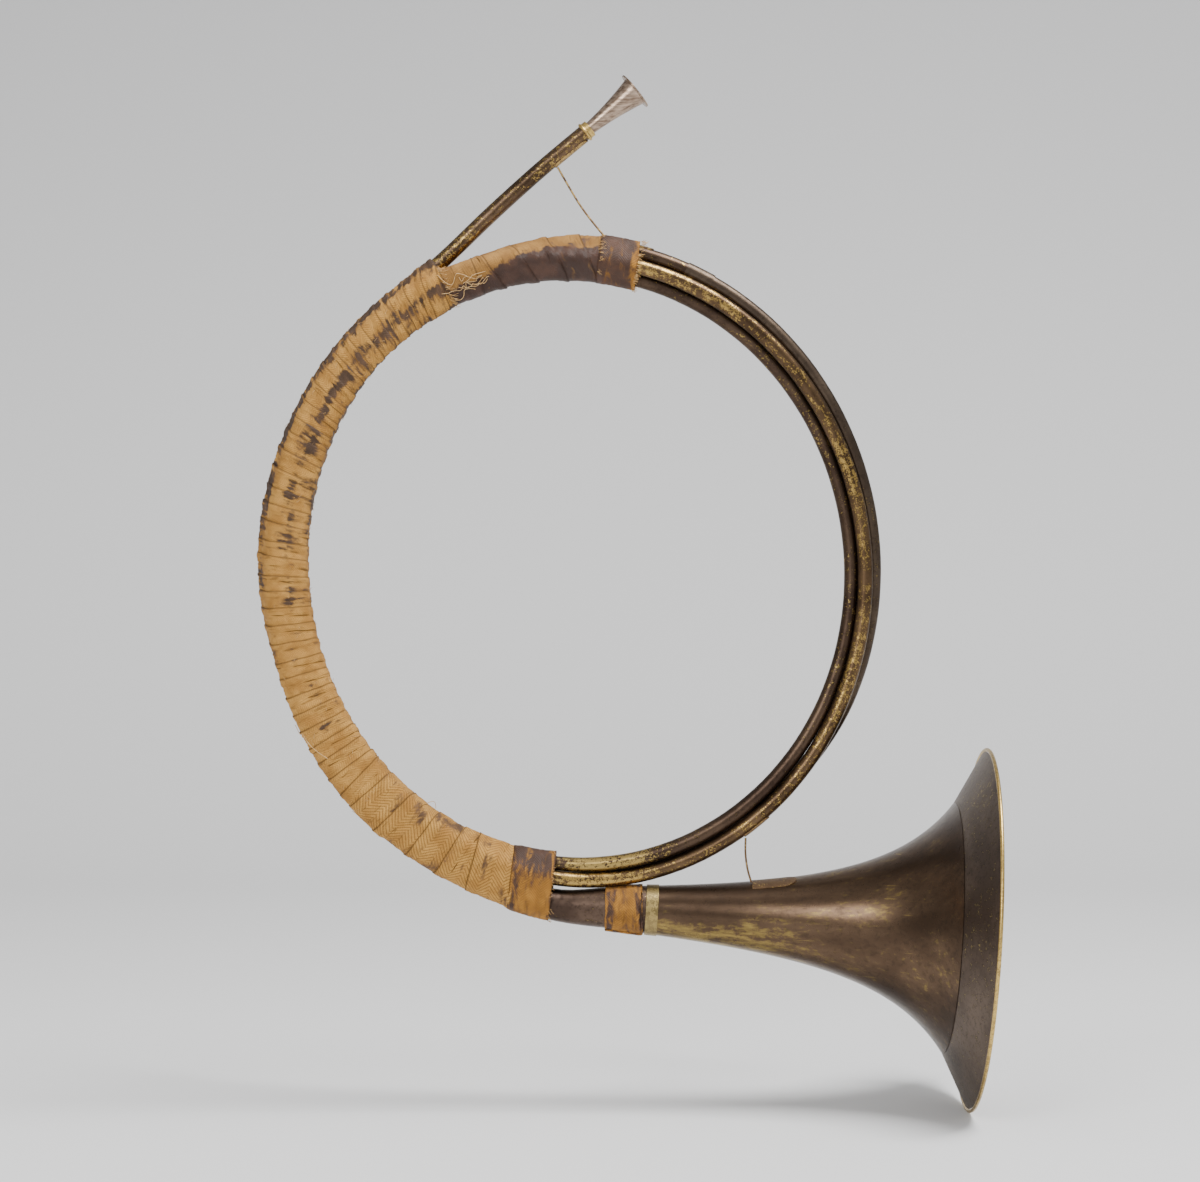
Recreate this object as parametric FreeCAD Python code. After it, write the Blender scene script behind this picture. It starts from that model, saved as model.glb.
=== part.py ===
import FreeCAD, Part
import math
import os

# Coiled hunting horn: three turns of narrow tube, a bell, a straight mouthpipe and a cloth-wound grip.
# Millimetres. The coil lies in the X-Z plane, Z is up, the mouthpiece and the bell both point to +X,
# and +Y is the horn's far side. Everything is drawn about the middle of the coil's loop and
# moved at export, so that the origin is the point on which the horn hangs in balance.

Vector = FreeCAD.Vector

# Loop of the coil: an oval, measured to the innermost metal
LOOP_MEAN_RADIUS = 186.6
LOOP_OVALNESS = 7.1
LOOP_LEAN = 98.7
HANGING_ANGLE = 73.6

# Tubing
TUBE_RADIUS = 5.0
TUBE_WALL = 0.5
MOUTHPIPE_RADIUS = 5.3
WINDING_STEP = 10.0
ARC_SHARE = 0.45

# Course of the tube round the loop: winding angle, distance outside the loop, depth.
# A pass crosses from one place in the bundle to another only where the grip hides it.
WINDING = [
    (102.0, 51.0, 5.5), (109.0, 37.0, 5.5), (114.0, 29.4, 5.5), (120.0, 24.9, 5.5),
    (128.0, 23.2, 5.5), (150.0, 22.6, 6.0), (180.0, 24.6, 6.6), (200.0, 22.4, 9.0), (215.0, 19.6, 10.0),
    (246.0, 14.5, 10.2), (262.0, 11.4, 9.8), (278.0, 10.0, 6.2), (300.0, 10.4, 6.6), (315.0, 14.0, 7.0),
    (330.0, 18.0, 6.2), (360.0, 20.0, 4.4), (400.0, 21.0, 3.0), (432.0, 21.7, 2.0),
    (450.0, 21.7, 2.6), (478.0, 14.5, 9.0), (500.0, 6.5, 6.0), (520.0, 5.0, 5.3),
    (580.0, 5.0, 5.2), (606.0, 4.9, 3.2), (622.0, 4.8, 1.6), (638.0, 4.8, -3.3),
    (660.0, 4.8, -3.1), (690.0, 5.0, 0.2), (720.0, 5.0, 2.0), (792.0, 5.0, 3.5),
    (812.0, 5.0, 3.4), (850.0, 5.0, -5.0), (880.0, 5.0, -5.3), (940.0, 5.0, -5.6),
    (966.0, 8.8, -6.6), (982.0, 13.2, -5.6), (998.0, 15.6, -3.3), (1020.0, 15.5, -3.3),
    (1050.0, 14.6, -4.0), (1080.0, 13.7, -4.2), (1152.0, 12.6, -4.2), (1172.0, 13.0, -4.4),
    (1200.0, 18.0, -5.8), (1260.0, 18.4, -6.0), (1302.0, 23.4, -4.8), (1326.0, 24.4, -2.6),
    (1338.0, 27.6, -0.8), (1348.0, 31.6, 0.0), (1356.0, 33.5, 0.0),
]

# Straight end of the mouthpipe beyond the coil, from the receiver back (x, z)
MOUTHPIPE_DEPTH = 5.5
MOUTHPIPE_ROUTE = [(10.5, 293.6), (-21.5, 267.2), (-57.0, 235.0), (-84.0, 208.5), (-107.0, 188.5)]
MOUTHPIPE_FIRST_ANGLE = 136.8

# Joints between lengths of tube, as winding angles. Only the second can be seen.
TUBE_JOINTS = [206.8, 426.8, 806.8, 1176.8]
FERRULE_LENGTH = 19.5
FERRULE_WALL = 0.4
FERRULE_CLEARANCE = 0.2

# Bell branch: winding angle and outer radius, then the tail (x, z, outer radius)
BRANCH_RADII = [
    (1176.8, 4.95), (1192.0, 5.1), (1215.0, 5.7), (1260.0, 6.7), (1302.0, 7.8), (1326.0, 8.7), (1338.0, 9.4),
    (1348.0, 10.7), (1356.0, 11.9),
]
BRANCH_LAST_ANGLE = 1338.0
BRANCH_STEP = 10.0
BRANCH_SECTIONS = 80
BRANCH_TAIL = [(-9.5, -225.4, 10.8), (17.2, -226.7, 13.2), (49.8, -228.2, 16.1)]
BRANCH_WALL = 0.5

# Bell: a horn curve, radius = mouth radius * (flare / (flare + distance from the mouth)) ** power
BELL_AXIS_DROP = 3.4
BELL_START = (50.5, -228.3)
BELL_LENGTH = 218.6
BELL_MOUTH_RADIUS = 121.0
BELL_FLARE = 56.0
BELL_POWER = 1.26
BELL_WALL = 0.6
FLANGE_WIDTH = 19.5
FLANGE_TUCK = 5.0
SOLDER_GAP = 0.1
RIM_WIRE_RADIUS = 1.3
BELL_POINTS = 14
TUCK_POINTS = 4
FLANGE_EDGE_SETBACK = 0.65
FLANGE_EDGE_LEAD = 0.36
BELL_FERRULE_LENGTH = 8.0
BELL_FERRULE_LEAD = 3.0

# Mouthpiece, along its own axis from the receiver's mouth
MOUTHPIECE_LENGTH = 39.5
MOUTHPIECE_RIM_RADIUS = 13.15
MOUTHPIECE_RIM_THICKNESS = 1.1
MOUTHPIECE_TOP_RADIUS = 10.0
MOUTHPIECE_WAIST_RADIUS = 6.35
CUP_TOP_RADIUS = 9.1
CUP_WAIST_RADIUS = 5.1
WAIST_SHARE = 0.5
THROAT_RADIUS = 1.9
THROAT_HEIGHT = 5.0
SHANK_RADIUS = 4.28
SHANK_TIP_RADIUS = 3.9
SHANK_LENGTH = 26.0
BACKBORE_RADIUS = 2.9
SOCKET_RADIUS = 4.35
SOCKET_LENGTH = 28.0
COLLAR_RADIUS = 5.4
COLLAR_LENGTH = 3.0
BEAD_RADIUS = 6.85
BEAD_LENGTH = 2.4

# Stays: wire with a thin half-oval foot at each end (x, depth, z)
STAY_WIRE_RADIUS = 0.68
FOOT_THICKNESS = 0.6
FOOT_HALF_WIDTH = 3.4
MOUTHPIPE_STAY = [
    (-11.1, 5.4, 267.4), (-2.3, 4.8, 252.0), (4.4, 4.0, 240.9), (11.8, 3.2, 231.0), (21.2, 2.3, 219.6),
]
BELL_STAY = [
    (114.1, -3.5, -180.0), (113.8, -3.9, -190.0), (115.0, -5.2, -200.2), (117.7, -7.4, -209.4),
]
UPPER_FOOT_LENGTH = 28.0
UPPER_FOOT_SETBACK = 6.4
COIL_TOP_FOOT_ANGLES = (444.7, 435.9)
COIL_BOTTOM_FOOT_ANGLES = (1022.2, 1028.0)
BELL_FOOT_START = 152.0
BELL_FOOT_LENGTH = 29.0
BELL_FOOT_HALF_WIDTH = 7.0
BELL_FOOT_TURN = 18.0
BELL_FOOT_POINTS = 5

# Windings over the tubes: first and last angle on the loop, clearance and thickness
WRAP_SLEEVES = {
    "grip_wrap_top_band": (78.0, 85.2, 0.9, 1.4),
    "grip_wrap_top": (85.4, 114.2, 0.2, 1.2),
    "grip_wrap_left": (114.4, 228.3, 0.2, 1.2),
    "grip_wrap_lower": (228.5, 258.3, 0.2, 1.2),
    "grip_wrap_bottom_band": (258.5, 266.0, 1.2, 1.3),
}
WRAP_SECTION_STEP = 10.0
WRAP_OUTLINE_POINTS = 24
GRIPPED_FROM = 114.3
HULL_DIRECTIONS = 120
GRAZING = 0.08
TAIL_BAND = (0.08, 0.88)
TAIL_BAND_CLEARANCE = 0.5
TAIL_BAND_THICKNESS = 0.7

FULL_TURN = 360.0
OVERRUN = 1.0


def loop_radius(angle):
    """Radius of the loop's inner edge at an angle, anticlockwise from +X."""
    return LOOP_MEAN_RADIUS + LOOP_OVALNESS * math.cos(math.radians(2 * (angle - LOOP_LEAN)))


def loop_point(angle, offset, depth):
    """Point outside the loop's inner edge by offset, at a depth."""
    radius = loop_radius(angle) + offset
    turn = math.radians(angle)
    return Vector(radius * math.cos(turn), depth, radius * math.sin(turn))


def along(stations, place, column):
    """Smooth value between stations, whose first column is the place."""
    last = len(stations) - 1
    index = max(i for i in range(last) if i == 0 or stations[i][0] <= place)
    low, high = stations[index], stations[index + 1]
    before = stations[max(index - 1, 0)]
    after = stations[min(index + 2, last)]
    span = high[0] - low[0]
    slope_low = (high[column] - before[column]) / (high[0] - before[0]) * span
    slope_high = (after[column] - low[column]) / (after[0] - low[0]) * span
    t = (place - low[0]) / span
    rise = t * t * (3 - 2 * t)
    value = low[column] + (high[column] - low[column]) * rise
    return value + slope_low * t * (1 - t) ** 2 - slope_high * t * t * (1 - t)


def winding_point(angle, stretch=1.0):
    """Point on the tube's centre line at a winding angle."""
    offset, depth = along(WINDING, angle, 1), along(WINDING, angle, 2)
    point = loop_point(angle, offset, depth)
    return Vector(point.x * stretch, point.y, point.z * stretch)


def winding_corners(first, last):
    """Corners of a polygon, half a step to each side, whose rounded path runs from first to last."""
    stretch = 1 / math.cos(math.radians(WINDING_STEP / 2))
    count = round((last - first) / WINDING_STEP) + 2
    return [winding_point(first + WINDING_STEP * (i - 0.5), stretch) for i in range(count)]


def rounded_path(corners):
    """Straight runs joined by tangent arcs, from the middle of the first run to that of the last."""
    start = (corners[0] + corners[1]) * 0.5
    edges = []
    for before, corner, after in zip(corners, corners[1:], corners[2:]):
        inward = (corner - before).normalize()
        outward = (after - corner).normalize()
        reach = ARC_SHARE * min(corner.distanceToPoint(before), corner.distanceToPoint(after))
        half_turn = inward.getAngle(outward) / 2
        bisector = (outward - inward).normalize()
        entry = corner - inward * reach
        middle = corner + bisector * (reach * math.tan(half_turn / 2))
        leave = corner + outward * reach
        edges.append(Part.LineSegment(start, entry).toShape())
        edges.append(Part.Arc(entry, middle, leave).toShape())
        start = leave
    edges.append(Part.LineSegment(start, (corners[-2] + corners[-1]) * 0.5).toShape())
    return Part.Wire(edges)


def circle_wire(centre, normal, radius):
    """Circle whose seam always lies on the far side, so that lofts don't twist."""
    wire = Part.Wire(Part.makeCircle(radius))
    turn = FreeCAD.Rotation(Vector(0, 1, 0), normal.cross(Vector(0, 1, 0)), normal, "ZXY")
    wire.Placement = FreeCAD.Placement(centre, turn)
    return wire


def swept_ring(corners, outer, inner):
    """Hollow tube of constant size along a rounded path."""
    start = (corners[0] + corners[1]) * 0.5
    normal = corners[1] - corners[0]
    disc, hole = [Part.Face(circle_wire(start, normal, radius)) for radius in (outer, inner)]
    return solid_of(rounded_path(corners).makePipe(disc.cut(hole).Faces[0]))


def swept_rod(corners, radius):
    """Solid wire along a rounded path."""
    start = (corners[0] + corners[1]) * 0.5
    profile = Part.Face(circle_wire(start, corners[1] - corners[0], radius))
    return solid_of(rounded_path(corners).makePipe(profile))


def solid_of(shape):
    """The single solid in a shape."""
    return shape.Solids[0]


def extended(points):
    """Corners of a rounded path that starts at the first point and stops at the last."""
    return [points[0] * 2 - points[1]] + points[1:-1] + [points[-1] * 2 - points[-2]]


def revolved(profile, origin, direction):
    """Ring made by turning a closed outline of (distance along, radius) about an axis in the X-Z plane."""
    sideways = Vector(-direction.z, 0, direction.x)
    edges = []
    for kind, points in profile:
        placed = [origin + direction * a + sideways * r for a, r in points]
        if kind == "line":
            edges += [Part.LineSegment(p, q).toShape() for p, q in zip(placed, placed[1:])]
        else:
            curve = Part.BSplineCurve()
            curve.interpolate(placed)
            edges.append(curve.toShape())
    face = Part.Face(Part.Wire(edges))
    return solid_of(face.revolve(origin, direction, FULL_TURN))


def ring(low, high, inner, outer, origin, direction):
    """Plain ring between two distances along an axis."""
    outline = [(low, inner), (low, outer), (high, outer), (high, inner), (low, inner)]
    return revolved([("line", outline)], origin, direction)


def tapered_ring(low, high, low_radii, high_radii, origin, direction):
    """Ring whose inner and outer radii change from one end to the other."""
    outline = [(low, low_radii[0]), (low, low_radii[1]), (high, high_radii[1]), (high, high_radii[0])]
    return revolved([("line", outline + outline[:1])], origin, direction)


def mouthpipe_corners():
    """Rounded route from the receiver to the first hidden joint."""
    straight = [Vector(x, MOUTHPIPE_DEPTH, z) for x, z in MOUTHPIPE_ROUTE]
    head = straight[0] * 2 - straight[1]
    return [head] + straight[1:] + winding_corners(MOUTHPIPE_FIRST_ANGLE, TUBE_JOINTS[0])


def mouthpiece_axis():
    """Receiver's mouth and the direction in which the mouthpiece pulls off."""
    first, second = [Vector(x, MOUTHPIPE_DEPTH, z) for x, z in MOUTHPIPE_ROUTE[:2]]
    return first, (first - second).normalize()


def coil_lengths():
    """Mouthpipe and the three lengths of coil tube, butted inside ferrules."""
    nodes = {"mouthpipe": swept_ring(mouthpipe_corners(), MOUTHPIPE_RADIUS, MOUTHPIPE_RADIUS - TUBE_WALL)}
    for number, (first, last) in enumerate(zip(TUBE_JOINTS, TUBE_JOINTS[1:]), start=1):
        tube = swept_ring(winding_corners(first, last), TUBE_RADIUS, TUBE_RADIUS - TUBE_WALL)
        nodes[f"coil_tube_{number}"] = tube
    return nodes


def joint_ferrules():
    """A short sleeve over each joint between two lengths of tube."""
    nodes = {}
    for number, angle in enumerate(TUBE_JOINTS, start=1):
        bore = (MOUTHPIPE_RADIUS if number == 1 else TUBE_RADIUS) + FERRULE_CLEARANCE
        sleeve = swept_ring(
            winding_corners(angle - WINDING_STEP, angle + WINDING_STEP), bore + FERRULE_WALL, bore)
        nodes[f"joint_ferrule_{number}"] = slice_at(sleeve, angle, FERRULE_LENGTH)
    return nodes


def slice_at(sleeve, angle, length):
    """Part of a sleeve that lies within a length centred on a winding angle."""
    forward = (winding_point(angle + OVERRUN) - winding_point(angle - OVERRUN)).normalize()
    start = winding_point(angle) - forward * (length / 2)
    block = Part.makeCylinder(2 * BEAD_RADIUS, length, start, forward)
    return solid_of(sleeve.common(block))


def bell_frame():
    """Start of the bell's axis and its direction."""
    drop = math.radians(BELL_AXIS_DROP)
    return Vector(BELL_START[0], 0, BELL_START[1]), Vector(math.cos(drop), 0, -math.sin(drop))


def branch_stations():
    """Centre points, radii and places along the bell branch."""
    count = round((BRANCH_LAST_ANGLE - TUBE_JOINTS[-1]) / BRANCH_STEP)
    step = (BRANCH_LAST_ANGLE - TUBE_JOINTS[-1]) / count
    angles = [TUBE_JOINTS[-1] + step * i for i in range(count + 1)]
    points = [winding_point(a) for a in angles]
    radii = [along(BRANCH_RADII, a, 1) for a in angles]
    points += [Vector(x, 0, z) for x, z, radius in BRANCH_TAIL]
    radii += [radius for x, z, radius in BRANCH_TAIL]
    return points, radii


def branch_shell(inset):
    """Solid through circles along the bell branch, smaller than its outside by an inset."""
    points, radii = branch_stations()
    spine = Part.BSplineCurve()
    spine.interpolate(points)
    stations = [(spine.parameter(point), radius) for point, radius in zip(points, radii)]
    sections = []
    for point in spine.discretize(Number=BRANCH_SECTIONS):
        place = spine.parameter(point)
        tangent = spine.tangent(place)[0]
        sections.append(circle_wire(point, tangent, along(stations, place, 1) - inset))
    return Part.makeLoft(sections, True, True)


def bell_branch():
    """Conical tube from the last joint to the bell."""
    return solid_of(branch_shell(0.0).cut(branch_shell(BRANCH_WALL)))


def bell_radius(from_mouth):
    """Outer radius of the bell's sheet at a distance behind its mouth."""
    return BELL_MOUTH_RADIUS * (BELL_FLARE / (BELL_FLARE + from_mouth)) ** BELL_POWER


def bell_outline(first, last, inset, count):
    """Points of the bell's curve between two distances behind the mouth, as (along, radius)."""
    places = [first + (last - first) * i / (count - 1) for i in range(count)]
    return [(BELL_LENGTH - place, bell_radius(place) - inset) for place in places]


def bell_parts():
    """Bell, its wide flange, the wire rolled into the rim and the strip over its small end."""
    origin, direction = bell_frame()
    outside = bell_outline(BELL_LENGTH, FLANGE_WIDTH, 0.0, BELL_POINTS)
    inside = bell_outline(FLANGE_WIDTH, BELL_LENGTH, BELL_WALL, BELL_POINTS)
    cone = [
        ("curve", outside), ("line", [outside[-1], inside[0]]),
        ("curve", inside), ("line", [inside[-1], outside[0]]),
    ]
    tuck = bell_outline(FLANGE_WIDTH + FLANGE_TUCK, FLANGE_WIDTH, BELL_WALL + SOLDER_GAP, TUCK_POINTS)
    under = [(a, r - BELL_WALL) for a, r in tuck]
    wire_ring = BELL_MOUTH_RADIUS - RIM_WIRE_RADIUS
    edge = (BELL_LENGTH - FLANGE_EDGE_SETBACK, wire_ring - RIM_WIRE_RADIUS)
    edge_inside = (edge[0] + FLANGE_EDGE_LEAD, edge[1] - BELL_WALL)
    flange = [
        ("curve", tuck), ("line", [tuck[-1], edge, edge_inside, under[-1]]),
        ("curve", under[::-1]), ("line", [under[0], tuck[0]]),
    ]
    rim = Part.makeTorus(wire_ring, RIM_WIRE_RADIUS, origin + direction * BELL_LENGTH, direction)
    low = -BELL_FERRULE_LEAD
    high = low + BELL_FERRULE_LENGTH
    low_bore = bell_radius(BELL_LENGTH) + SOLDER_GAP
    high_bore = bell_radius(BELL_LENGTH - high) + SOLDER_GAP
    ferrule = tapered_ring(
        low, high, (low_bore, low_bore + FERRULE_WALL), (high_bore, high_bore + FERRULE_WALL),
        origin, direction)
    return {
        "bell_cone": revolved(cone, origin, direction),
        "bell_flange": revolved(flange, origin, direction),
        "bell_rim_wire": solid_of(rim),
        "bell_ferrule": ferrule,
    }


def mouthpiece_parts():
    """Turned mouthpiece in three pieces: funnel, flat rim and shank."""
    origin, direction = mouthpiece_axis()
    top = MOUTHPIECE_LENGTH - MOUTHPIECE_RIM_THICKNESS
    middle = top * WAIST_SHARE
    outside = [(0, SHANK_RADIUS), (middle, MOUTHPIECE_WAIST_RADIUS), (top, MOUTHPIECE_TOP_RADIUS)]
    cup = [(top, CUP_TOP_RADIUS), (middle, CUP_WAIST_RADIUS), (THROAT_HEIGHT, THROAT_RADIUS)]
    funnel = [
        ("curve", outside), ("line", [outside[-1], cup[0]]), ("curve", cup),
        ("line", [cup[-1], (0, THROAT_RADIUS), outside[0]]),
    ]
    shank = tapered_ring(
        -SHANK_LENGTH, 0, (BACKBORE_RADIUS, SHANK_TIP_RADIUS), (THROAT_RADIUS, SHANK_RADIUS),
        origin, direction)
    return {
        "mouthpiece_cone": revolved(funnel, origin, direction),
        "mouthpiece_rim": ring(top, MOUTHPIECE_LENGTH, CUP_TOP_RADIUS, MOUTHPIECE_RIM_RADIUS, origin, direction),
        "mouthpiece_shank": shank,
    }


def receiver_parts():
    """Socket inside the mouthpipe, and the bead and collar round its mouth."""
    origin, direction = mouthpiece_axis()
    bore = MOUTHPIPE_RADIUS + SOLDER_GAP
    bead_middle = -BEAD_LENGTH / 2
    shoulder = COLLAR_RADIUS + FERRULE_WALL
    bulge = [(-BEAD_LENGTH, shoulder), (bead_middle, BEAD_RADIUS), (0, shoulder)]
    bead = [("curve", bulge), ("line", [bulge[-1], (0, bore), (-BEAD_LENGTH, bore), bulge[0]])]
    lining = MOUTHPIPE_RADIUS - TUBE_WALL - SOLDER_GAP
    return {
        "receiver_bead": revolved(bead, origin - direction * COLLAR_LENGTH, direction),
        "receiver_collar": ring(-COLLAR_LENGTH, 0, bore, shoulder, origin, direction),
        "receiver_socket": ring(-SOCKET_LENGTH, 0, SOCKET_RADIUS, lining, origin, direction),
    }


def half_oval(base, forward, outward, length, half_width, height):
    """Upright block with a half-oval outline: square at the base, round at the far end."""
    sideways = forward.cross(outward).normalize()
    shoulder = length - half_width
    left, right = sideways * half_width, sideways * -half_width
    tip = base + forward * length
    a, b = base + left, base + forward * shoulder + left
    c, d = base + forward * shoulder + right, base + right
    outline = Part.Wire([
        Part.LineSegment(a, b).toShape(), Part.Arc(b, tip, c).toShape(),
        Part.LineSegment(c, d).toShape(), Part.LineSegment(d, a).toShape(),
    ])
    return Part.Face(outline).extrude(outward * height)


def stay_feet():
    """Four feet: two on the mouthpipe's stay and two on the bell's stay."""
    origin, direction = mouthpiece_axis()
    down = Vector(direction.z, 0, -direction.x)
    bore = MOUTHPIPE_RADIUS + SOLDER_GAP
    sleeve = swept_ring(mouthpipe_corners()[:3], bore + FOOT_THICKNESS, bore)
    lower = origin - direction * (UPPER_FOOT_LENGTH + UPPER_FOOT_SETBACK)
    block = half_oval(lower, direction, down, UPPER_FOOT_LENGTH, FOOT_HALF_WIDTH, 2 * bore)
    return {
        "mouthpipe_stay_upper_foot": solid_of(sleeve.common(block)),
        "mouthpipe_stay_lower_foot": coil_foot(*COIL_TOP_FOOT_ANGLES),
        "bell_stay_upper_foot": coil_foot(*COIL_BOTTOM_FOOT_ANGLES),
        "bell_stay_lower_foot": bell_foot(),
    }


def coil_foot(first, last):
    """Plate that hugs the outer side of a coil tube from the wire's angle to its round tip."""
    joint = min(TUBE_JOINTS, key=lambda angle: abs(angle - first))
    steps = math.floor((min(first, last) - joint) / WINDING_STEP)
    low = joint + WINDING_STEP * steps
    bore = TUBE_RADIUS + SOLDER_GAP
    sleeve = swept_ring(winding_corners(low, low + 2 * WINDING_STEP), bore + FOOT_THICKNESS, bore)
    base, tip = winding_point(first), winding_point(last)
    forward = (tip - base).normalize()
    radial = Vector(base.x + tip.x, 0, base.z + tip.z).normalize()
    outward = (radial - forward * radial.dot(forward)).normalize()
    block = half_oval(base, forward, outward, base.distanceToPoint(tip), FOOT_HALF_WIDTH, 2 * bore)
    return solid_of(sleeve.common(block))


def bell_foot():
    """Plate that hugs the top of the bell."""
    origin, direction = bell_frame()
    turn = math.radians(BELL_FOOT_TURN)
    up = Vector(-direction.z, 0, direction.x) * math.cos(turn) - Vector(0, math.sin(turn), 0)
    start, stop = BELL_FOOT_START, BELL_FOOT_START - BELL_FOOT_LENGTH
    low = bell_outline(start + OVERRUN, stop - OVERRUN, -SOLDER_GAP, BELL_FOOT_POINTS)
    high = bell_outline(stop - OVERRUN, start + OVERRUN, -SOLDER_GAP - FOOT_THICKNESS, BELL_FOOT_POINTS)
    sheet = revolved([
        ("curve", low), ("line", [low[-1], high[0]]), ("curve", high), ("line", [high[-1], low[0]]),
    ], origin, direction)
    base = origin + direction * (BELL_LENGTH - start)
    block = half_oval(base, direction, up, BELL_FOOT_LENGTH, BELL_FOOT_HALF_WIDTH, 2 * bell_radius(stop))
    return solid_of(sheet.common(block))


def stays():
    """The two thin wires."""
    return {
        "mouthpipe_stay": swept_rod(extended([Vector(*p) for p in MOUTHPIPE_STAY]), STAY_WIRE_RADIUS),
        "bell_stay": swept_rod(extended([Vector(*p) for p in BELL_STAY]), STAY_WIRE_RADIUS),
    }


def tubes_at(angle):
    """Tubes that cross the loop's radius at an angle under the grip: (offset, depth, radius)."""
    found = []
    winding = angle
    while winding <= WINDING[-1][0]:
        if winding >= GRIPPED_FROM:
            tube = MOUTHPIPE_RADIUS if winding < TUBE_JOINTS[0] + WINDING_STEP else TUBE_RADIUS
            radius = tube + FERRULE_CLEARANCE + FERRULE_WALL
            if winding > TUBE_JOINTS[-1]:
                radius = max(radius, along(BRANCH_RADII, winding, 1))
            found.append((along(WINDING, winding, 1), along(WINDING, winding, 2), radius))
        winding += FULL_TURN
    return found


def wrap_outline(angle, clearance):
    """Closed curve drawn tight round the bundle of tubes at an angle."""
    tubes = tubes_at(angle)
    middle = [sum(t[i] for t in tubes) / len(tubes) for i in (0, 1)]
    supports = []
    for k in range(HULL_DIRECTIONS):
        turn = 2 * math.pi * k / HULL_DIRECTIONS
        ux, uy = math.cos(turn), math.sin(turn)
        reach = max((t[0] - middle[0]) * ux + (t[1] - middle[1]) * uy + t[2] for t in tubes)
        supports.append((ux, uy, reach + clearance))
    points = []
    for k in range(WRAP_OUTLINE_POINTS):
        turn = 2 * math.pi * k / WRAP_OUTLINE_POINTS
        dx, dy = math.cos(turn), math.sin(turn)
        reach = min(h / (ux * dx + uy * dy) for ux, uy, h in supports if ux * dx + uy * dy > GRAZING)
        points.append(loop_point(angle, middle[0] + reach * dx, middle[1] + reach * dy))
    curve = Part.BSplineCurve()
    curve.interpolate(points, PeriodicFlag=True)
    return Part.Wire([curve.toShape()])


def wrap_solid(first, last, clearance):
    """Loft of the bundle's outline from one angle to another."""
    count = max(3, round((last - first) / WRAP_SECTION_STEP) + 1)
    angles = [first + (last - first) * i / (count - 1) for i in range(count)]
    return Part.makeLoft([wrap_outline(a, clearance) for a in angles], True)


def wraps():
    """Sleeves of wound cloth and leather over the bundle of tubes."""
    nodes = {}
    for name, (first, last, clearance, thickness) in WRAP_SLEEVES.items():
        outer = wrap_solid(first, last, clearance + thickness)
        inner = wrap_solid(first, last, clearance)
        nodes[name] = solid_of(outer.cut(inner))
    wire_hole = swept_rod(extended([Vector(*p) for p in MOUTHPIPE_STAY]), STAY_WIRE_RADIUS + SOLDER_GAP)
    nodes["grip_wrap_top_band"] = solid_of(nodes["grip_wrap_top_band"].cut(wire_hole))
    return nodes


def tail_wrap():
    """Band of cloth round the bell branch's tail."""
    (x0, z0, r0), (x1, z1, r1) = BRANCH_TAIL[-2:]
    start, stop = Vector(x0, 0, z0), Vector(x1, 0, z1)
    run = stop - start
    low, high = [run.Length * share for share in TAIL_BAND]
    bores = [r0 + (r1 - r0) * share + TAIL_BAND_CLEARANCE for share in TAIL_BAND]
    radii = [(bore, bore + TAIL_BAND_THICKNESS) for bore in bores]
    return tapered_ring(low, high, radii[0], radii[1], start, run.normalize())


def all_parts():
    nodes = {}
    for group in (coil_lengths, joint_ferrules, bell_parts, mouthpiece_parts, receiver_parts, stays,
                  stay_feet, wraps):
        nodes.update(group())
    nodes["bell_branch"] = bell_branch()
    nodes["tail_wrap_band"] = tail_wrap()
    return nodes


def export():
    os.makedirs("parts", exist_ok=True)
    hanging_point = loop_point(HANGING_ANGLE, 0, 0)
    for name, shape in all_parts().items():
        shape.translate(hanging_point * -1)
        shape.exportStep(f"parts/{name}.step")
        print(f"{name:28s} valid {shape.isValid()}  volume {shape.Volume:10.1f}  closed {shape.isClosed()}")


export()
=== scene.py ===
import math
import random

import bpy
import numpy as np
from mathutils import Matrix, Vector, noise
from mathutils.bvhtree import BVHTree


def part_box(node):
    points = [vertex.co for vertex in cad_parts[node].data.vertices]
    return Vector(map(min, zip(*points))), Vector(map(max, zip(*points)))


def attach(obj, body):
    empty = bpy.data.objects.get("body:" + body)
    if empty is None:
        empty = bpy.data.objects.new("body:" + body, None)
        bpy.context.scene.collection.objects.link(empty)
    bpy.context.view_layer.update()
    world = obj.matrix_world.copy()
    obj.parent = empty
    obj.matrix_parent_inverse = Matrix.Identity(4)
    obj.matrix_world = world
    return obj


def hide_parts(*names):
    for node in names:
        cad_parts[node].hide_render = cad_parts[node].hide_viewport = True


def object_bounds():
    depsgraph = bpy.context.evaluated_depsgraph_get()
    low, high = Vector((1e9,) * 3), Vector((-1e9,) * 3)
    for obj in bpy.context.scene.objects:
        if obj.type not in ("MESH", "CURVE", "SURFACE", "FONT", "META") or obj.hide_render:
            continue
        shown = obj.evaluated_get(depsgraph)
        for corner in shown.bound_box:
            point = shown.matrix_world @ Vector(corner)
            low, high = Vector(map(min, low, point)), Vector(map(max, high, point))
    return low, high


# Coiled hunting horn: the CAD metalwork with aged-brass materials, and every winding as real cloth tape.
# Metres, in the CAD frame: +Y is the horn's far side, Z is up.

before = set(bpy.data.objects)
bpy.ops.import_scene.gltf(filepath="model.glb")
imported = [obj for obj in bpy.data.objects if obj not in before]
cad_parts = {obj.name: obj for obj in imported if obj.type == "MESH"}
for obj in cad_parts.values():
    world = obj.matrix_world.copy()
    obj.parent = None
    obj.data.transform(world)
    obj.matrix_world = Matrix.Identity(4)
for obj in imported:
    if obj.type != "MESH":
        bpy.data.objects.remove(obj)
cad_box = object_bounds()
rng = random.Random(7)

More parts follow.
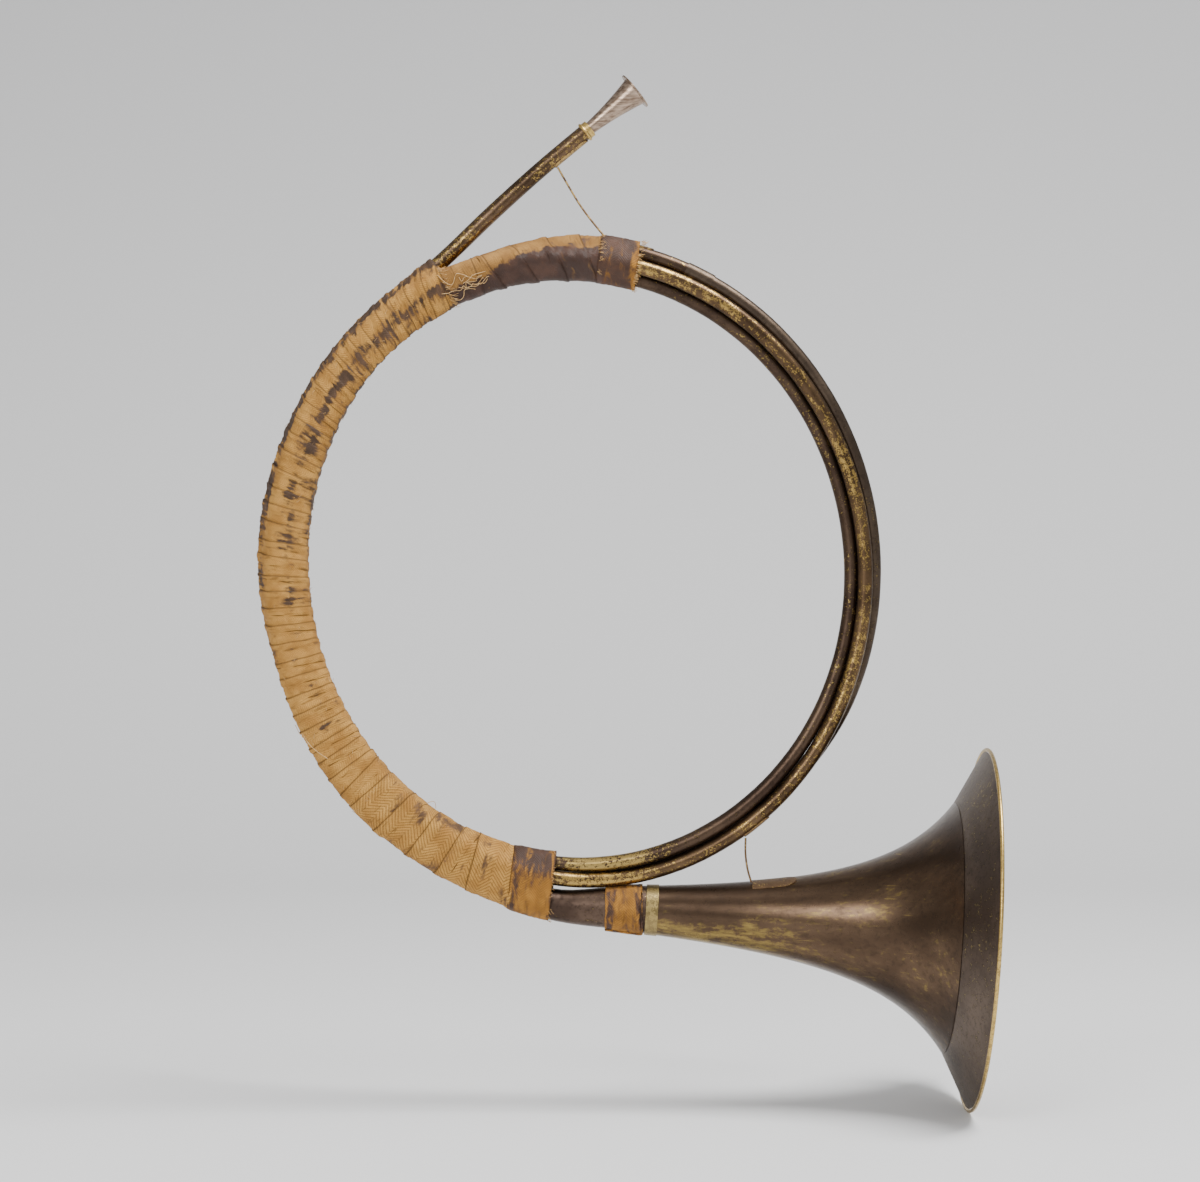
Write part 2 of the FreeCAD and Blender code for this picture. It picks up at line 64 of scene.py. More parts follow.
LOOP_CENTRE = Vector((-0.053968, 0.0, -0.183368))
WRAPS = ["grip_wrap_top_band", "grip_wrap_top", "grip_wrap_left", "grip_wrap_lower", "grip_wrap_bottom_band"]
STEPS_PER_TURN = 84  # mesh rows in one turn of tape
OUTLINE_ROWS = 72  # rays round the bundle at each degree of the loop
FIRST_ANGLE = 79  # degrees of the loop between which the bundle is wound
LAST_ANGLE = 265
LOOP_RADIUS = 0.2  # turns an angle round the loop into a length, in materials and fibres
WINDING_RADIUS = 0.21  # the same for the distance between turns of tape
TURN_JITTER = 0.12  # share of that distance by which a turn may stray
TAPE_THICKNESS = 0.0005
SHELL_THICKNESS = TAPE_THICKNESS * 0.9  # leaves a gap between one layer and the next
LAYER_RISE = 1.25  # thicknesses by which each layer underneath lifts a turn
SHOULDER = 0.0016  # width over which a turn climbs the edge of the turn before
BAND_COLUMNS = 19  # mesh columns across each single-turn band
TAIL_TURNS = 1.12
TAIL_ROW_LENGTH = 0.0011  # about the length of tape in one row of the tail's band
FRONT = -math.pi / 2  # turn on the side of the bundle that faces the camera
BELL_AXIS_Z = -0.4117


# ---------------------------------------------------------------- node helpers
class Graph:
    """A material's node tree, with short calls for the nodes used here."""

    def __init__(self, name):
        self.material = bpy.data.materials.new(name)
        self.material.use_nodes = True
        self.tree = self.material.node_tree
        self.shader = self.tree.nodes["Principled BSDF"]

    def node(self, kind, inputs=None, **settings):
        made = self.tree.nodes.new(kind)
        for key, value in settings.items():
            setattr(made, key, value)
        for key, value in (inputs or {}).items():
            self.put(made.inputs[key], value)
        return made

    def put(self, socket, value):
        if isinstance(value, bpy.types.NodeSocket):
            self.tree.links.new(value, socket)
        else:
            socket.default_value = value

    def math(self, operation, a, b=0.0):
        return self.node("ShaderNodeMath", {0: a, 1: b}, operation=operation).outputs[0]

    def noise(self, vector, scale, detail=4.0, roughness=0.55, distortion=0.0):
        values = {"Vector": vector, "Scale": scale, "Detail": detail, "Roughness": roughness,
                  "Distortion": distortion}
        return self.node("ShaderNodeTexNoise", values).outputs["Fac"]

    def ramp(self, factor, low, high):
        """0 below low, 1 above high, smooth between."""
        made = self.node("ShaderNodeMapRange", {"Value": factor, "From Min": low, "From Max": high})
        made.interpolation_type = "SMOOTHSTEP"
        return made.outputs["Result"]

    def remap(self, factor, low, high):
        """0 to 1 becomes low to high."""
        made = self.node("ShaderNodeMapRange", {"Value": factor, "To Min": low, "To Max": high})
        return made.outputs["Result"]

    def mix(self, factor, a, b):
        """Colour a at 0, colour b at 1."""
        made = self.node("ShaderNodeMix", data_type="RGBA")
        for index, value in ((0, factor), (6, a), (7, b)):
            self.put(made.inputs[index], value if not isinstance(value, tuple) else (*value, 1.0))
        return made.outputs[2]

    def stretch(self, vector, scale):
        return self.node("ShaderNodeMapping", {"Vector": vector, "Scale": scale}).outputs["Vector"]

    def bump(self, height, strength, distance, normal=None):
        values = {"Height": height, "Strength": strength, "Distance": distance}
        if normal is not None:
            values["Normal"] = normal
        return self.node("ShaderNodeBump", values).outputs["Normal"]

    def finish(self, **sockets):
        for name, value in sockets.items():
            self.put(self.shader.inputs[name.replace("_", " ")], value)
        return self.material


def shade(colour, share):
    """The colour, share times as bright."""
    return tuple(min(1.0, c * share) for c in colour)


def polar(g):
    """(object position, angle round the loop in radians, distance from the loop's centre)."""
    position = g.node("ShaderNodeTexCoord").outputs["Object"]
    split = g.node("ShaderNodeSeparateXYZ", {0: position})
    x = g.math("SUBTRACT", split.outputs["X"], LOOP_CENTRE.x)
    z = g.math("SUBTRACT", split.outputs["Z"], LOOP_CENTRE.z)
    radius = g.math("SQRT", g.math("ADD", g.math("MULTIPLY", x, x), g.math("MULTIPLY", z, z)))
    return position, g.math("ARCTAN2", z, x), radius


def along_tube(g, stretch):
    """Coordinates that run along the loop, so that noise makes streaks lengthwise."""
    position, angle, radius = polar(g)
    split = g.node("ShaderNodeSeparateXYZ", {0: position})
    run = g.math("MULTIPLY", angle, LOOP_RADIUS / stretch)
    return g.node("ShaderNodeCombineXYZ", {0: run, 1: split.outputs["Y"], 2: radius}).outputs[0]


def aged_brass(name, dark, brown, brass, wear, gloss, streak=6.0, front=0.0, seed=0.0, loop=True, polish=0.0):
    """Old brass: a brown skin in two tones, rubbed through to yellow metal in flecks, with fine scratches.
    wear is how much brass shows, gloss the middle of its roughness, and streak how long the marks are. front
    adds brass on the side that faces the camera, as worn metal with a painted highlight, and polish adds wear
    at the foot of the coil, beside the grip.
    seed shifts the pattern. loop makes the streaks follow the coil, and without it they run along X."""
    g = Graph(name)
    position = g.node("ShaderNodeTexCoord").outputs["Object"]
    shifted = g.node("ShaderNodeVectorMath", {0: position, 1: (seed, seed * 0.7, seed * 1.3)}).outputs[0]
    lengthwise = along_tube(g, streak) if loop else g.stretch(shifted, (1 / streak, 1.0, 1.0))
    cloudy = g.noise(shifted, 26.0, 5.0, 0.6)
    mottled = g.noise(shifted, 330.0, 7.0, 0.72, 0.3)
    streaks = g.noise(lengthwise, 330.0, 5.0, 0.6)
    flecks = g.noise(shifted, 1100.0, 3.0, 0.7)
    broad = g.noise(shifted, 11.0, 3.0, 0.5)
    normal = g.node("ShaderNodeNewGeometry").outputs["Normal"]
    facing = g.node("ShaderNodeSeparateXYZ", {0: normal}).outputs["Y"]
    # worn metal with a painted highlight: more brass on the side that faces -Y, toward the camera
    rubbed = g.math("MULTIPLY", g.ramp(g.math("MULTIPLY", facing, -1.0), 0.35, 0.95), front)
    amount = g.math("ADD", g.math("MULTIPLY", streaks, 0.5), g.math("MULTIPLY", mottled, 1.1))
    amount = g.math("ADD", g.math("SUBTRACT", amount, 0.7), g.math("MULTIPLY", flecks, 0.8))
    amount = g.math("ADD", amount, g.math("MULTIPLY", g.math("SUBTRACT", broad, 0.5), 0.5))
    amount = g.math("ADD", amount, rubbed)
    spot = g.node("ShaderNodeSeparateXYZ", {0: position})
    beside = g.math("SUBTRACT", g.ramp(spot.outputs["X"], -0.075, -0.055),
                    g.ramp(spot.outputs["X"], -0.035, 0.04))
    low = g.math("SUBTRACT", 1.0, g.ramp(spot.outputs["Z"], -0.37, -0.34))
    amount = g.math("ADD", amount, g.math("MULTIPLY", g.math("MULTIPLY", beside, low), polish))
    shows = g.ramp(amount, 0.58 - wear, 0.7 - wear)
    skin = g.mix(g.ramp(cloudy, 0.35, 0.65), dark, brown)
    skin = g.mix(g.math("MULTIPLY", g.ramp(mottled, 0.5, 0.62), 0.6), skin, shade(dark, 0.45))
    colour = g.mix(shows, skin, g.mix(g.ramp(mottled, 0.3, 0.7), brass, shade(brass, 0.72)))
    scratch = g.noise(g.stretch(lengthwise, (0.6, 1.0, 9.0)), 700.0, 2.0, 0.5)
    rough = g.math("ADD", g.remap(mottled, gloss - 0.08, gloss + 0.12), g.math("MULTIPLY", scratch, 0.08))
    rough = g.math("SUBTRACT", rough, g.math("MULTIPLY", shows, 0.05))
    dents = g.bump(g.noise(shifted, 60.0, 2.0, 0.4), 0.12, 0.002)
    skin_bump = g.bump(g.math("ADD", flecks, g.math("MULTIPLY", scratch, 0.6)), 0.12, 0.0002, dents)
    return g.finish(Base_Color=colour, Metallic=0.95, Roughness=rough, Normal=skin_bump)


def bell_brass():
    """The bell: dark brown skin, long scratches, and green-gold brass along the lower throat and in rubs."""
    g = Graph("bell_aged_brass")
    position = g.node("ShaderNodeTexCoord").outputs["Object"]
    split = g.node("ShaderNodeSeparateXYZ", {0: position})
    lengthwise = g.stretch(position, (0.22, 1.0, 1.0))
    cloudy = g.noise(lengthwise, 30.0, 5.0, 0.62)
    mottled = g.noise(position, 260.0, 7.0, 0.72, 0.4)
    streaks = g.noise(lengthwise, 240.0, 6.0, 0.68)
    over_axis = g.math("ADD", split.outputs["Z"], -BELL_AXIS_Z)
    low_side = g.ramp(g.math("MULTIPLY", over_axis, -1.0), -0.008, 0.018)
    throat = g.math("SUBTRACT", 1.0, g.ramp(split.outputs["X"], 0.045, 0.115))
    patch = g.math("MULTIPLY", g.math("MULTIPLY", low_side, throat), 0.13)
    amount = g.math("ADD", g.math("MULTIPLY", streaks, 0.5), g.math("MULTIPLY", mottled, 0.5))
    amount = g.math("ADD", amount, g.math("MULTIPLY", g.math("SUBTRACT", cloudy, 0.5), 0.45))
    shows = g.math("MULTIPLY", g.ramp(g.math("ADD", amount, patch), 0.53, 0.78), 0.85)
    skin = g.mix(g.ramp(cloudy, 0.3, 0.7), (0.056, 0.034, 0.021), (0.118, 0.074, 0.045))
    skin = g.mix(g.math("MULTIPLY", g.ramp(mottled, 0.5, 0.62), 0.5), skin, (0.04, 0.026, 0.018))
    brass = g.mix(g.ramp(mottled, 0.3, 0.7), (0.46, 0.32, 0.08), (0.27, 0.19, 0.055))
    turned = g.node("ShaderNodeMapping",
                    {"Vector": position, "Rotation": (0.2, 0.6, 0.3), "Scale": (1.0, 1.0, 24.0)})
    lines = g.noise(turned.outputs["Vector"], 42.0, 2.0, 0.4)
    scratches = g.math("MULTIPLY", g.ramp(lines, 0.705, 0.735), g.ramp(cloudy, 0.45, 0.6))
    shows = g.math("MAXIMUM", shows, g.math("MULTIPLY", scratches, 0.75))
    colour = g.mix(shows, skin, brass)
    rough = g.math("SUBTRACT", g.remap(mottled, 0.2, 0.4), g.math("MULTIPLY", shows, 0.03))
    dents = g.bump(g.noise(position, 30.0, 2.0, 0.4), 0.16, 0.003)
    grain = g.bump(g.math("ADD", streaks, g.math("MULTIPLY", scratches, -0.8)), 0.14, 0.00025, dents)
    return g.finish(Base_Color=colour, Metallic=0.9, Roughness=rough, Normal=grain)


def nickel_silver():
    """The mouthpiece: warm silver metal, tarnished in streaks along its axis."""
    g = Graph("mouthpiece_nickel_silver")
    position = g.node("ShaderNodeTexCoord").outputs["Object"]
    turned = g.node("ShaderNodeMapping",
                    {"Vector": position, "Rotation": (0.0, 0.69, 0.0), "Scale": (0.12, 1.0, 1.0)})
    streaks = g.noise(turned.outputs["Vector"], 520.0, 5.0, 0.6)
    cloudy = g.noise(position, 120.0, 4.0, 0.6)
    colour = g.mix(g.ramp(streaks, 0.38, 0.66), (0.44, 0.33, 0.25), (0.17, 0.115, 0.08))
    colour = g.mix(g.math("MULTIPLY", g.ramp(cloudy, 0.5, 0.75), 0.5), colour, (0.16, 0.11, 0.075))
    rough = g.math("ADD", g.remap(cloudy, 0.2, 0.36), g.math("MULTIPLY", streaks, 0.08))
    return g.finish(Base_Color=colour, Metallic=1.0, Roughness=rough, Normal=g.bump(streaks, 0.1, 0.0002))


def cloth_tape(name, light, deep, worn, thread, bands, gloss, width, hollow_shade=0.42):
    """Woven tape seen close: twill that turns back in bands, loose fibres, grime, and wear to a glazed skin,
    with painted shade in the twill's low places and in its creases. The mesh says where it is worn, and gives
    the tape's own length and width as its UV. thread and bands are the twill's two spacings, and width is the
    tape's, for the painted shadow line along both its edges, where one turn lies on the next. The last
    argument is how dark the painted shade in the twill's low places is."""
    g = Graph(name)
    uv = g.node("ShaderNodeUVMap", uv_map="tape").outputs["UV"]
    split = g.node("ShaderNodeSeparateXYZ", {0: uv})
    length, across = split.outputs["X"], split.outputs["Y"]
    # worn carries wear, and on the grip's long side also painted shade and a painted highlight
    wear = g.node("ShaderNodeAttribute", attribute_name="worn").outputs["Fac"]
    position = g.node("ShaderNodeTexCoord").outputs["Object"]
    zigzag = g.math("PINGPONG", across, bands)
    drift = g.math("MULTIPLY", g.noise(uv, 90.0, 2.0), 0.0012)
    diagonal = g.math("ADD", g.math("ADD", length, zigzag), drift)
    twill = g.math("SINE", g.math("MULTIPLY", diagonal, 2 * math.pi / thread))
    warp = g.math("SINE", g.math("MULTIPLY", across, 2 * math.pi / (thread * 0.62)))
    weft = g.math("SINE", g.math("MULTIPLY", length, 2 * math.pi / (thread * 0.55)))
    crossing = g.math("MULTIPLY", g.math("MULTIPLY", warp, weft), 0.4)
    weave = g.math("ADD", g.math("MULTIPLY", twill, 0.6), crossing)
    fibres = g.noise(g.stretch(uv, (0.25, 1.0, 1.0)), 2600.0, 3.0, 0.7)
    creases = g.noise(g.stretch(uv, (0.16, 1.0, 1.0)), 420.0, 4.0, 0.6, 0.8)
    stains = g.noise(position, 75.0, 5.0, 0.62)
    grime = g.noise(g.stretch(uv, (0.35, 1.0, 1.0)), 260.0, 5.0, 0.7, 0.6)
    cloth = g.mix(g.ramp(stains, 0.32, 0.68), light, deep)
    # painted shade: darker colour in the twill's low places, where its shadows fall
    cloth = g.mix(g.math("MULTIPLY", g.ramp(weave, 0.1, -0.6), hollow_shade), cloth, shade(deep, 0.36))
    cloth = g.mix(g.math("MULTIPLY", g.ramp(fibres, 0.55, 0.8), 0.35), cloth, shade(light, 1.35))
    # painted shade: darker colour along the creases
    cloth = g.mix(g.math("MULTIPLY", g.ramp(creases, 0.55, 0.7), 0.6), cloth, shade(deep, 0.35))
    cloth = g.mix(g.math("MULTIPLY", g.ramp(fibres, 0.47, 0.3), 0.5), cloth, shade(deep, 0.4))
    side = g.math("ABSOLUTE", across)
    ragged_side = g.math("ADD", side, g.math("MULTIPLY", fibres, 0.0006))
    # painted shadow: a dark line along both edges of the tape, for the shadow where one turn lies on the next
    edge_shadow = g.ramp(ragged_side, width / 2 - 0.001, width / 2)
    cloth = g.mix(g.math("MULTIPLY", edge_shadow, 0.75), cloth, shade(deep, 0.22))
    ragged = g.math("ADD", wear, g.math("MULTIPLY", g.math("SUBTRACT", grime, 0.5), 1.5))
    ragged = g.math("ADD", ragged, g.math("MULTIPLY", weave, 0.05))
    shows = g.ramp(ragged, 0.4, 0.78)
    skin = g.mix(g.ramp(stains, 0.4, 0.7), worn, shade(worn, 1.9))
    colour = g.mix(shows, cloth, skin)
    rough = g.remap(shows, 0.92, gloss)
    relief = g.bump(weave, 0.5, 0.00025)
    relief = g.bump(creases, 0.45, 0.0007, relief)
    relief = g.bump(fibres, 0.35, 0.00015, relief)
    return g.finish(Base_Color=colour, Roughness=rough, Normal=relief, Specular_IOR_Level=0.3)


def thread_material(name, light, deep):
    g = Graph(name)
    position = g.node("ShaderNodeTexCoord").outputs["Object"]
    colour = g.mix(g.ramp(g.noise(position, 420.0), 0.35, 0.65), light, deep)
    return g.finish(Base_Color=colour, Roughness=g.remap(g.noise(position, 900.0), 0.75, 0.95))


# ---------------------------------------------------------------- the wound bundle
def loop_way(angle):
    """Direction out from the loop's centre at angle degrees: 0 is +X, and 90 is up."""
    return Vector((math.cos(math.radians(angle)), 0.0, math.sin(math.radians(angle))))


def world_tree(names):
    """The named CAD nodes as one tree to cast rays at."""
    corners, faces = [], []
    for name in names:
        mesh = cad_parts[name].data
        first = len(corners)
        corners += [v.co.copy() for v in mesh.vertices]
        faces += [[first + i for i in p.vertices] for p in mesh.polygons]
    return BVHTree.FromPolygons(corners, faces)


def hit(tree, start, way):
    return tree.ray_cast(start, way)[0]


def outline(tree, middle, first, second, count, clear):
    """Reach from middle to the surface in count directions, from first round by way of second.
    The rays start clear metres out, and one that meets nothing repeats the reach before it."""
    row = []
    for step in range(count):
        turn = 2 * math.pi * step / count
        way = first * math.cos(turn) + second * math.sin(turn)
        found = hit(tree, middle + way * clear, -way)
        row.append((found - middle).length if found is not None else row[-1])
    return row


def bundle_table():
    """Middle of the wound bundle, and the reach of its sleeves round that, for each whole degree of it."""
    tree = world_tree(WRAPS)
    far = Vector((0, 1, 0))
    beyond, within, beside, clear = 0.35, 0.12, 0.1, 0.09  # metres away at which the rays start
    middles, reach = [], []
    for angle in range(FIRST_ANGLE, LAST_ANGLE + 1):
        out = loop_way(angle)
        outer = hit(tree, LOOP_CENTRE + out * beyond, -out)
        inner = hit(tree, LOOP_CENTRE + out * within, out)
        middle = (outer + inner) / 2
        back = hit(tree, middle + far * beside, -far)
        front = hit(tree, middle - far * beside, far)
        middle.y = (back.y + front.y) / 2
        middles.append(((middle - LOOP_CENTRE).dot(out), middle.y))
        reach.append(outline(tree, middle, out, far, OUTLINE_ROWS, clear))
    return np.array(middles), np.array(reach)


MIDDLES, REACH = bundle_table()


def bundle(angle, turn):
    """(middle's distance from the loop's centre, middle's depth, reach) at angle degrees and turn radians."""
    at = min(max(angle, FIRST_ANGLE), LAST_ANGLE - 0.001) - FIRST_ANGLE
    low, part = int(at), at - int(at)
    middle = MIDDLES[low] * (1 - part) + MIDDLES[low + 1] * part
    around = (turn / (2 * math.pi) % 1.0) * OUTLINE_ROWS
    first = int(around) % OUTLINE_ROWS
    share = around - int(around)
    nearby = REACH[low] * (1 - part) + REACH[low + 1] * part
    reach = nearby[first] * (1 - share) + nearby[(first + 1) % OUTLINE_ROWS] * share
    return middle[0], middle[1], reach


def on_bundle(angle, turn, lift):
    """The point lift metres outside the bundle's outline. turn is 0 outermost and FRONT on the near side."""
    distance, depth, reach = bundle(angle, turn)
    r = reach + lift
    way = loop_way(angle) * (distance + r * math.cos(turn))
    return LOOP_CENTRE + way + Vector((0, depth + r * math.sin(turn), 0))


def smooth(value, low, high):
    t = min(max((value - low) / (high - low), 0.0), 1.0)
    return t * t * (3 - 2 * t)


def fbm(x, y, z):
    return noise.fractal(Vector((x, y, z)), 0.9, 2.0, 4)


def turn_angles(first, last, pitch):
    """Angles of successive turns from first to last, about pitch metres apart.
    The first and last turns are plain rings."""
    step = math.degrees(pitch / WINDING_RADIUS)
    count = max(1, round((last - first) / step))
    angles = [first + (last - first) * k / count for k in range(count + 1)]
    for k in range(1, count):
        angles[k] += rng.uniform(-TURN_JITTER, TURN_JITTER) * step
    return [first, *angles, last]


def tape_piece(name, nodes, corners, wears, run, across, flipped, material):
    """The piece for one tape: rows of corners at lengths run, each with a column at every place in across.
    It stands for the CAD nodes. flipped turns its faces the other way out."""
    columns = len(across)
    faces = []
    for row in range(len(run) - 1):
        for column in range(columns - 1):
            a = row * columns + column
            face = (a, a + 1, a + columns + 1, a + columns)
            faces.append(face[::-1] if flipped else face)
    mesh = bpy.data.meshes.new(name)
    mesh.from_pydata(corners, [], faces)
    mesh.materials.append(material)
    layer = mesh.uv_layers.new(name="tape")
    for polygon in mesh.polygons:
        for loop, corner in zip(polygon.loop_indices, polygon.vertices):
            layer.data[loop].uv = (run[corner // columns], across[corner % columns])
    mesh.attributes.new("worn", "FLOAT", "POINT").data.foreach_set("value", wears)
    mesh.polygons.foreach_set("use_smooth", [True] * len(mesh.polygons))
    piece = bpy.data.objects.new(name, mesh)
    bpy.context.collection.objects.link(piece)
    solid = piece.modifiers.new("thickness", "SOLIDIFY")
    solid.thickness = SHELL_THICKNESS
    solid.offset = -1.0
    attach(piece, "horn")
    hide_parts(*nodes)


def wound_tape(name, nodes, angles, width, way, sink, wear, material, crease=0.00022, columns=15,
               start=0.0):
    """One tape wound round the bundle: each turn lies on the edge of the turn before it.
    angles has the tape's middle at each whole turn, way is the direction that it is wound in, sink is how far
    it lies inside the sleeves' outline, and start is the turn in radians at which it begins."""
    total = len(angles) - 1
    rows = total * STEPS_PER_TURN + 1
    across = np.linspace(-width / 2, width / 2, columns)
    layers = np.zeros((rows, columns))
    middle_angle = np.interp(np.arange(rows) / STEPS_PER_TURN, range(total + 1), angles)
    corners, wears, run, length, previous = [], [], [], 0.0, None
    for row in range(rows):
        turn = start + way * 2 * math.pi * row / STEPS_PER_TURN
        distance, _, reach = bundle(middle_angle[row], turn)
        here_radius = distance + reach * math.cos(turn)
        if row >= STEPS_PER_TURN:
            gone = math.radians(middle_angle[row] - middle_angle[row - STEPS_PER_TURN]) * here_radius
            under = across + gone
            covered = np.clip((width / 2 - under) / SHOULDER, 0.0, 1.0)
            below = np.interp(under, across, layers[row - STEPS_PER_TURN])
            layers[row] = covered * covered * (3 - 2 * covered) * (below + 1.0)
        centre = on_bundle(middle_angle[row], turn, 0.0)
        length += 0.0 if previous is None else (centre - previous).length
        previous = centre
        run.append(length)
        for column, v in enumerate(across):
            ragged = 0.0
            if column in (0, columns - 1):
                ragged = 0.0005 * noise.noise(Vector((length * 130, 3.0 if v > 0 else 9.0, way)))
            side = v * (1 + ragged / width * 2)
            angle = middle_angle[row] + math.degrees(side / here_radius)
            slack = 0.0003 * noise.noise(Vector((length * 34, v * 60, 5.0)))
            fold = crease * (1 - abs(noise.noise(Vector((length * 55, v * 420, total)))) * 3)
            raised = layers[row][column] * TAPE_THICKNESS * LAYER_RISE
            curled = max(0.0, noise.noise(Vector((length * 60, v, 1))))
            curl = 0.0003 * smooth(abs(v), width * 0.44, width * 0.5) * curled
            corners.append(on_bundle(angle, turn, -sink + raised + slack + fold + curl))
            wears.append(wear(angle, turn, length, v))
    tape_piece(name, nodes, corners, wears, run, across, way < 0, material)


def side_of(turn):
    """(0 at the bundle's outer side to 1 at its inner side, 1 at its front to -1 at its back)."""
    return (1 - math.cos(turn)) / 2, -math.sin(turn)


def left_wear_and_painted_light(angle, turn, length, v):
    """The grip's long side: grime in short streaks either side of a ridge, most where it was held. Painted
    shade with grime darkens the outer side, and a painted highlight leaves the ridge lighter.
    """
    place, front = side_of(turn)
    held = 1 - smooth(angle, 150, 205)
    streak = fbm(length * 9, v * 330, angle * 0.3)
    blotch = fbm(angle * 0.19, place * 4, front)
    band = math.exp(-(((place - 0.62) / 0.17) ** 2)) * 0.34 * (0.35 + 0.65 * held)
    # painted shade with grime: darker along the outer side, most where it was held
    outside = (1 - smooth(place, 0.02, 0.11)) * (0.32 * held + 0.13)
    inside = smooth(place, 0.9, 0.99) * 0.34 * held
    # painted highlight: the ridge is left lighter
    ridge = math.exp(-(((place - 0.3) / 0.1) ** 2)) * 0.22
    return 0.34 + 0.42 * streak + 0.4 * blotch + band + outside + inside - ridge - 0.17 * (1 - held)


def lower_wear(angle, turn, length, v):
    blotch = fbm(angle * 0.22, turn * 0.9, 4.0)
    late = smooth(angle, 226, 244) * (1 - smooth(angle, 252, 260))
    return 0.16 + 0.62 * blotch + 0.14 * late + 0.16 * fbm(length * 14, v * 200, 2.0)


def top_wear(angle, turn, length, v):
    """The top of the grip: glazed dark, rubbed back to cloth along its outer side away from the band."""
    place, _ = side_of(turn)
    clean_to = 0.1 + 0.46 * smooth(angle, 90, 112)
    ragged = 0.16 * fbm(angle * 0.4, turn * 1.7, 6.0)
    glazed = smooth(place + ragged, clean_to - 0.12, clean_to + 0.16)
    return 0.22 + 0.72 * glazed + 0.2 * fbm(length * 12, v * 160, 8.0)


def top_band_wear(angle, turn, length, v):
    return 0.86 + 0.3 * fbm(length * 20, v * 120, 1.0) - 0.42 * smooth(-v, 0.006, 0.0125)


def bottom_band_wear(angle, turn, length, v):
    place, _ = side_of(turn)
    return 0.4 + 0.4 * smooth(place, 0.5, 1.0) + 0.4 * fbm(length * 16, v * 150, 3.0)


def tail_wear(length, v):
    return 0.55 + 0.5 * fbm(length * 18, v * 170, 12.0)


OCHRE = (0.56, 0.295, 0.07)
OCHRE_DEEP = (0.36, 0.17, 0.036)
GLAZED = (0.04, 0.018, 0.011)
TOP_WIDTH = 0.027
LEFT_WIDTH = 0.0165
LOWER_WIDTH = 0.0315
left_cloth = cloth_tape("left_tape", OCHRE, OCHRE_DEEP, (0.05, 0.026, 0.013),
                        0.0016, 0.0055, 0.62, LEFT_WIDTH)
lower_cloth = cloth_tape("lower_tape", (0.52, 0.275, 0.065), OCHRE_DEEP, (0.085, 0.043, 0.018),
                         0.0027, 0.0079, 0.7, LOWER_WIDTH, 0.62)
top_cloth = cloth_tape("top_tape", (0.42, 0.22, 0.06), (0.27, 0.13, 0.036), GLAZED,
                       0.0014, 0.005, 0.4, TOP_WIDTH)
band_cloth = cloth_tape("band_tape", (0.44, 0.2, 0.035), (0.25, 0.11, 0.02), (0.045, 0.02, 0.011),
                        0.0019, 0.0065, 0.55, 0.029, 0.55)

wound_tape("top_tape", ["grip_wrap_top"], turn_angles(88.2, 112.0, 0.02), TOP_WIDTH, 1, 0.0009,
           top_wear, top_cloth, start=math.pi / 2)
wound_tape("left_tape", ["grip_wrap_left"], turn_angles(116.6, 226.4, 0.0122), LEFT_WIDTH, -1, 0.0007,
           left_wear_and_painted_light, left_cloth, crease=0.0003)
wound_tape("lower_tape", ["grip_wrap_lower"], turn_angles(230.4, 255.2, 0.0255), LOWER_WIDTH, -1, 0.0007,
           lower_wear, lower_cloth, columns=21)
wound_tape("top_band_tape", ["grip_wrap_top_band"], [81.7, 82.0], 0.0265, 1, 0.0006,
           top_band_wear, band_cloth, columns=BAND_COLUMNS, start=math.pi / 2)
wound_tape("bottom_band_tape", ["grip_wrap_bottom_band"], [262.4, 262.1], 0.0285, -1, 0.0005,
           bottom_band_wear, band_cloth, columns=BAND_COLUMNS, start=math.pi / 2)


# ---------------------------------------------------------------- metal
MATERIALS = {
    "mouthpipe": aged_brass("mouthpipe_brass", (0.055, 0.034, 0.02), (0.12, 0.075, 0.045),
                            (0.5, 0.33, 0.1), -0.03, 0.3, front=0.05, seed=1.7, loop=False),
    "coil_tube_1": aged_brass("outer_tube_brass", (0.062, 0.044, 0.032), (0.11, 0.08, 0.056),
                              (0.33, 0.23, 0.09), -0.08, 0.32, seed=0.3),
    "coil_tube_2": aged_brass("inner_tube_brass", (0.045, 0.028, 0.02), (0.09, 0.058, 0.038),
                              (0.45, 0.31, 0.1), -0.07, 0.32, seed=2.1, polish=0.24),
    "coil_tube_3": aged_brass("front_tube_brass", (0.06, 0.036, 0.02), (0.13, 0.08, 0.042),
                              (0.52, 0.34, 0.1), -0.025, 0.3, front=0.08, seed=3.3, polish=0.2),
    "bell_branch": aged_brass("branch_brass", (0.056, 0.036, 0.027), (0.12, 0.08, 0.058),
                              (0.4, 0.28, 0.12), -0.06, 0.36, seed=4.9),
}
bright = aged_brass("fitting_brass", (0.26, 0.17, 0.06), (0.42, 0.28, 0.09), (0.72, 0.5, 0.16),
                    0.12, 0.28, 2.0, seed=5.5, loop=False)
strip = aged_brass("strip_brass", (0.17, 0.125, 0.05), (0.26, 0.19, 0.08), (0.42, 0.31, 0.12),
                   0.05, 0.36, 1.0, seed=6.1, loop=False)
flange = aged_brass("flange_brass", (0.08, 0.056, 0.042), (0.14, 0.102, 0.075), (0.36, 0.27, 0.12),
                    -0.09, 0.38, 1.0, seed=7.7, loop=False)
wire = aged_brass("stay_brass", (0.09, 0.055, 0.035), (0.2, 0.12, 0.06), (0.5, 0.33, 0.12),
                  0.08, 0.4, 1.0, seed=8.3, loop=False)
